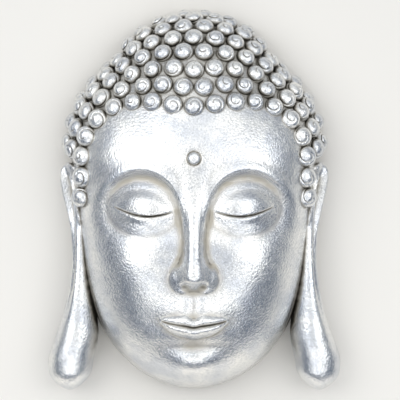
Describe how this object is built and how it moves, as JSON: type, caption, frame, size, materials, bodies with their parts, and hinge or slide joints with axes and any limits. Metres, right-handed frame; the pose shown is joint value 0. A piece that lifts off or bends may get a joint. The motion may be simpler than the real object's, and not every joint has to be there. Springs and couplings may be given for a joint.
{
  "type": "buddha mask",
  "caption": "Hollow wall mask of a serene face with lowered eyes, snail-curl hair and long ear lobes, flat along its back rim.",
  "frame": {"origin": "middle of the box around the mask, at the flat back it lies on", "axes": "+X across the face, +Y from the chin to the crown, +Z out of the face"},
  "size_m": [0.458, 0.6, 0.1801],
  "materials": {
    "silvered_resin": "silver leaf over cast resin, bright and rubbed on the high places, grey-brown in the hollows"
  },
  "bodies": {
    "root": {"mask": "silvered_resin"}
  },
  "joints": []
}
